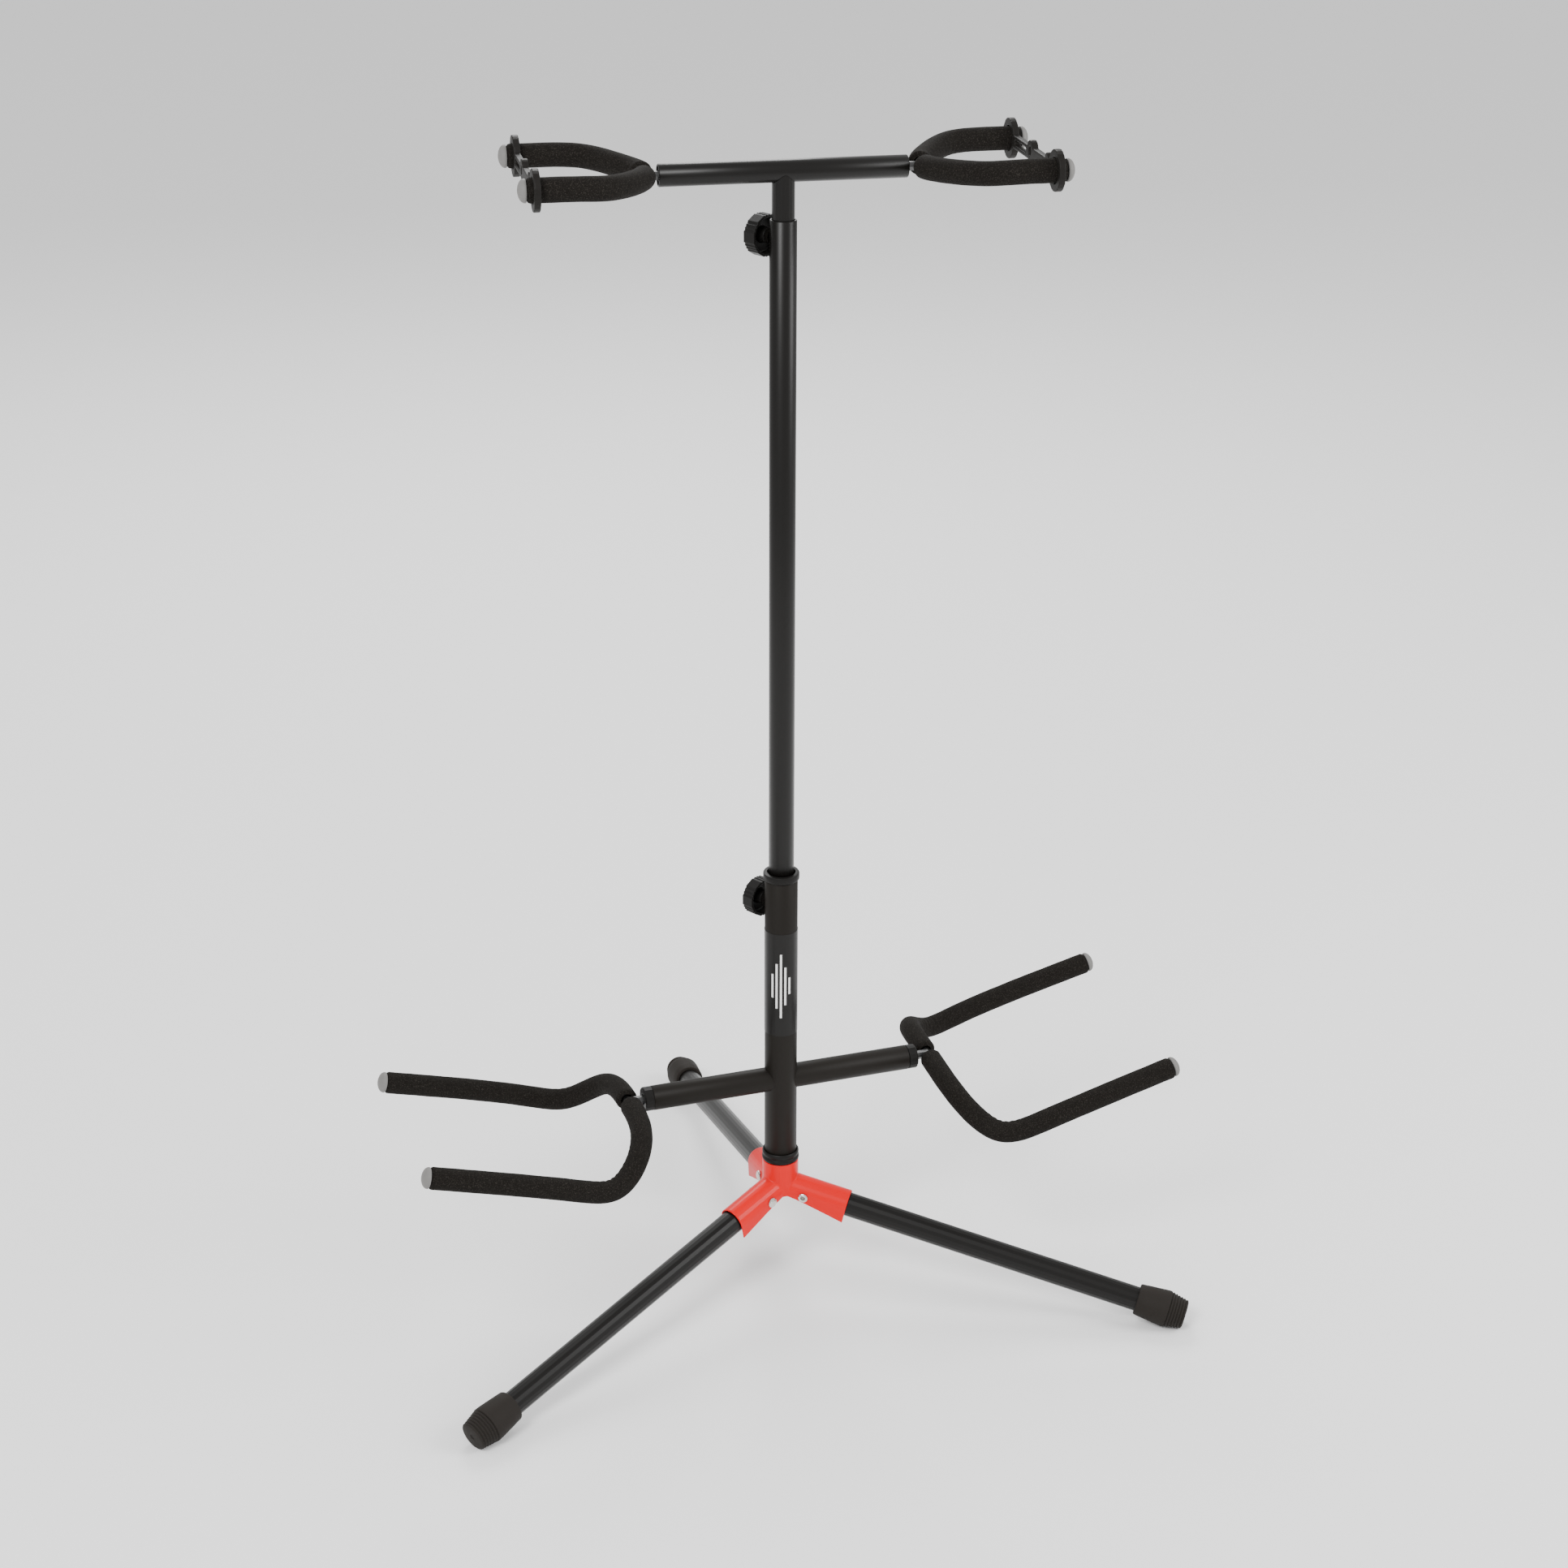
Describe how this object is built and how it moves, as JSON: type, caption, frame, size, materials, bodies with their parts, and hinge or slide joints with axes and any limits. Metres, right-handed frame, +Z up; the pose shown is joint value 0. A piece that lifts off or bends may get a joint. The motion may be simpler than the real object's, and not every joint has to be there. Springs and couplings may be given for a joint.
{
  "type": "guitar stand",
  "caption": "Folding tripod stand with a telescopic mast, foam cradles for guitar bodies and strapped foam yokes for their necks.",
  "frame": {"origin": "middle of the bounding box, on the floor", "axes": "+Z up along the mast, X along the lower crossbar, +Y towards the back leg"},
  "size_m": [0.5966, 0.5036, 0.8957],
  "materials": {
    "black_paint": "satin black enamel",
    "matt_black_paint": "matt black enamel",
    "red_paint": "glossy red enamel on a casting",
    "nickel": "bright nickel plate",
    "dark_steel": "dark zinc plate",
    "black_plastic": "moulded, semi-gloss",
    "grey_cap_plastic": "moulded, matt",
    "foot_rubber": "matt rubber",
    "strap_rubber": "smooth rubber",
    "black_foam": "closed-cell foam with a fine skin"
  },
  "bodies": {
    "base": {"hub": "red_paint", "hub_ring": "black_plastic", "rivet_back": "nickel", "rivet_left": "nickel", "rivet_right": "nickel", "lower_tube": "matt_black_paint", "clutch_collar": "black_plastic", "lower_crossbar": "matt_black_paint", "crossbar_plug_left": "black_plastic", "crossbar_plug_right": "black_plastic", "lower_weld_nut": "black_paint"},
    "leg_back_body": {"leg_back": "black_paint", "foot_cap_back": "foot_rubber"},
    "leg_left_body": {"leg_left": "black_paint", "foot_cap_left": "foot_rubber"},
    "leg_right_body": {"leg_right": "black_paint", "foot_cap_right": "foot_rubber"},
    "cradle_left": {"cradle_rod_left": "dark_steel", "cradle_retainer_left": "dark_steel", "cradle_foam_left_far": "black_foam", "cradle_foam_left_near": "black_foam", "cradle_cap_left_far": "grey_cap_plastic", "cradle_cap_left_near": "grey_cap_plastic"},
    "cradle_right": {"cradle_rod_right": "dark_steel", "cradle_retainer_right": "dark_steel", "cradle_foam_right_far": "black_foam", "cradle_foam_right_near": "black_foam", "cradle_cap_right_far": "grey_cap_plastic", "cradle_cap_right_near": "grey_cap_plastic"},
    "mid_glide": {"mid_tube_glide": "black_plastic"},
    "mid_mast": {"mid_tube": "black_paint", "upper_weld_nut": "black_paint"},
    "upper_mast": {"upper_tube": "black_paint", "upper_tube_glide": "black_plastic", "top_crossbar": "black_paint", "yoke_socket_left": "dark_steel", "yoke_socket_right": "dark_steel", "yoke_rod_left": "dark_steel", "yoke_rod_right": "dark_steel", "yoke_foam_left_far": "black_foam", "yoke_foam_left_near": "black_foam", "yoke_foam_right_far": "black_foam", "yoke_foam_right_near": "black_foam", "yoke_cap_left_far": "grey_cap_plastic", "yoke_cap_left_near": "grey_cap_plastic", "yoke_cap_right_far": "grey_cap_plastic", "yoke_cap_right_near": "grey_cap_plastic"},
    "strap_left_body": {"strap_left": "strap_rubber"},
    "strap_right_body": {"strap_right": "strap_rubber"},
    "upper_screw": {"upper_stud": "dark_steel", "upper_knob": "black_plastic"},
    "lower_screw": {"lower_stud": "dark_steel", "lower_knob": "black_plastic"}
  },
  "joints": [
    {"name": "leg_back_fold", "type": "hinge", "parent": "base", "child": "leg_back_body", "pos_m": [0.00073, -0.0513, 0.07771], "axis": [-0.9994, 0.0349, 0], "range_deg": [0, 77.4]},
    {"name": "leg_left_fold", "type": "hinge", "parent": "base", "child": "leg_left_body", "pos_m": [-0.01853, -0.08212, 0.07771], "axis": [0.4695, -0.8829, 0], "range_deg": [0, 77.4]},
    {"name": "leg_right_fold", "type": "hinge", "parent": "base", "child": "leg_right_body", "pos_m": [0.01779, -0.08339, 0.07771], "axis": [0.5299, 0.848, 0], "range_deg": [0, 77.4]},
    {"name": "cradle_left_turn", "type": "hinge", "parent": "base", "child": "cradle_left", "pos_m": [-0.1, -0.07227, 0.1765], "axis": [1, 0, 0], "range_deg": [-90, 90]},
    {"name": "cradle_right_turn", "type": "hinge", "parent": "base", "child": "cradle_right", "pos_m": [0.1, -0.07227, 0.1765], "axis": [1, 0, 0], "range_deg": [-90, 90]},
    {"name": "mid_height", "type": "slide", "parent": "base", "child": "mid_glide", "axis": [0, 0, 1], "range_m": [-0.045, 0.044]},
    {"name": "mid_swivel", "type": "hinge", "parent": "mid_glide", "child": "mid_mast", "pos_m": [0, -0.07227, 0.3], "axis": [0, 0, 1], "continuous": true},
    {"name": "upper_height", "type": "slide", "parent": "mid_mast", "child": "upper_mast", "axis": [0, 0, 1], "range_m": [-0.022, 0.17]},
    {"name": "strap_left_pull", "type": "slide", "parent": "upper_mast", "child": "strap_left_body", "axis": [-0.9925, 0.1219, 0], "range_m": [0, 0.03]},
    {"name": "strap_right_pull", "type": "slide", "parent": "upper_mast", "child": "strap_right_body", "axis": [0.9925, -0.1219, 0], "range_m": [0, 0.03]},
    {"name": "upper_clamp", "type": "slide", "parent": "mid_mast", "child": "upper_screw", "axis": [-0.4617, 0.887, 0], "range_m": [0, 0.002]},
    {"name": "lower_clamp", "type": "slide", "parent": "base", "child": "lower_screw", "axis": [-0.4617, 0.887, 0], "range_m": [0, 0.002]}
  ]
}
